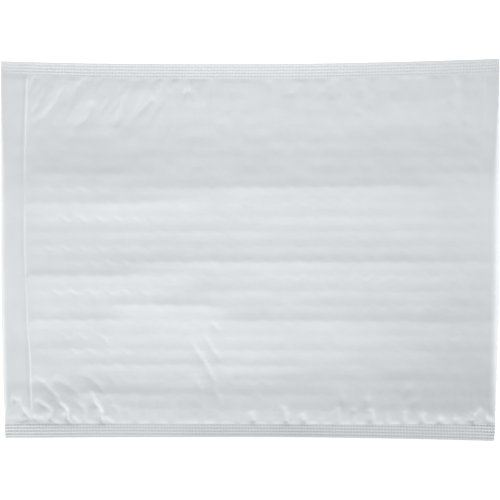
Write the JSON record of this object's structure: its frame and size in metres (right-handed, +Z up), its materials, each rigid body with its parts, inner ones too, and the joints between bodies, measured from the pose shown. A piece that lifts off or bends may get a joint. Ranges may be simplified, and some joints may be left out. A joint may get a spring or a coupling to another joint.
{
  "type": "padded envelope",
  "caption": "Empty white padded paper envelope lined with bubble film, with crimped side seams, a folded closed end and its flap tucked under the back.",
  "frame": {"origin": "middle of the envelope's outline, on the surface that it lies on", "axes": "+X along the envelope from the mouth to the closed fold, +Y across it from seam to seam, +Z up, out of the address panel"},
  "size_m": [0.346, 0.2654, 0.0112],
  "materials": {
    "paper": "matte white paper, slightly cool",
    "film": "clear bubble film",
    "adhesive": "clear tacky adhesive",
    "liner": "smooth coated release paper"
  },
  "bodies": {
    "root": {"paper_cover": "paper", "bubble_lining": "film", "adhesive_strip": "adhesive", "release_liner": "liner"}
  },
  "joints": []
}
